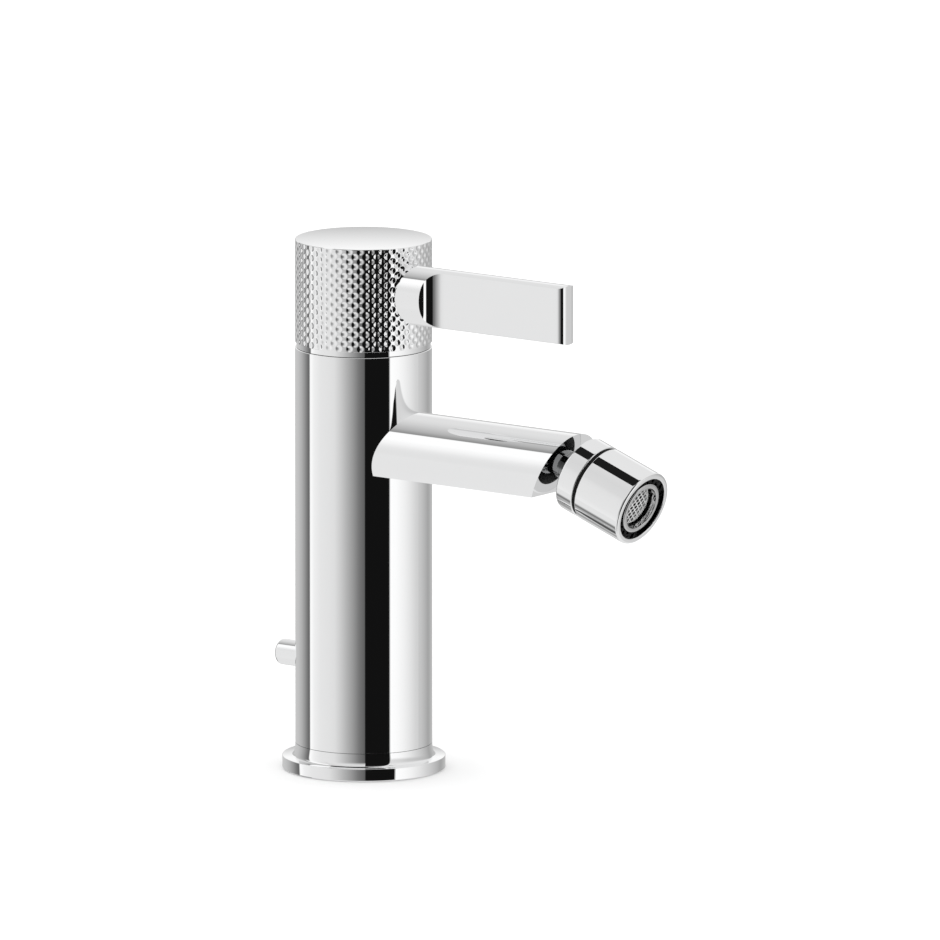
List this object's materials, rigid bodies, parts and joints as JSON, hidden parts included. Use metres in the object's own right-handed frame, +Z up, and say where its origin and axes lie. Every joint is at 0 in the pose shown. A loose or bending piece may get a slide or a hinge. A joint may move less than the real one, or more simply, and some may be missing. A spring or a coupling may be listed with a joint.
{
  "type": "bidet mixer",
  "caption": "Single-lever bidet mixer: round column, knurled head with a flat lever, straight spout with a swivelling aerator nozzle, and a rear pull knob for the waste.",
  "frame": {"origin": "centre of the foot's underside, on the deck", "axes": "+Z up along the column, +X along the spout and the closed lever, waste knob on the -X side"},
  "size_m": [0.1521, 0.0536, 0.1763],
  "materials": {
    "chrome": "polished",
    "brass": "machined",
    "rubber": "matte",
    "plastic": "moulded",
    "black_plastic": "moulded",
    "ceramic": "polished",
    "steel": "satin"
  },
  "bodies": {
    "base": {"foot_ring": "chrome", "foot_gasket": "rubber", "base_plug": "brass", "column": "chrome", "riser_tubes": "brass", "valve_block": "brass", "cartridge_base": "plastic", "port_seals": "rubber", "cartridge_housing": "plastic", "fixed_disc": "ceramic", "cartridge_nut": "brass", "trim_ring": "chrome", "spout": "chrome", "rod_guide": "plastic"},
    "handle": {"moving_disc": "ceramic", "spindle": "brass", "head_core": "brass", "head_sleeve": "chrome", "head_cap": "chrome", "lever_stud": "steel", "lever": "chrome"},
    "swivel": {"swivel_ball": "chrome", "stem_seal": "rubber", "lock_ring": "brass"},
    "nozzle": {"back_seat": "black_plastic", "collar": "chrome", "nozzle_gasket": "rubber", "nozzle_shell": "chrome", "ball_seat": "plastic", "shell_seal": "rubber", "flow_disc": "plastic", "aerator_body": "plastic", "aerator_cup": "chrome", "aerator_mesh": "steel"},
    "waste": {"waste_rod": "steel", "rod_head": "brass", "waste_knob": "chrome"}
  },
  "joints": [
    {"name": "handle_turn", "type": "hinge", "parent": "base", "child": "handle", "pos_m": [0, 0, 0.1594], "axis": [0, 0, 1], "range_deg": [0, 100]},
    {"name": "swivel_turn", "type": "hinge", "parent": "base", "child": "swivel", "pos_m": [0.09442, 0, 0.10564], "axis": [0.9397, 0, -0.342], "continuous": true},
    {"name": "nozzle_tilt", "type": "hinge", "parent": "swivel", "child": "nozzle", "pos_m": [0.09442, 0, 0.10564], "axis": [0, 1, 0], "range_deg": [-22, 22]},
    {"name": "waste_pull", "type": "slide", "parent": "base", "child": "waste", "axis": [0, 0, 1], "range_m": [0, 0.025]}
  ]
}
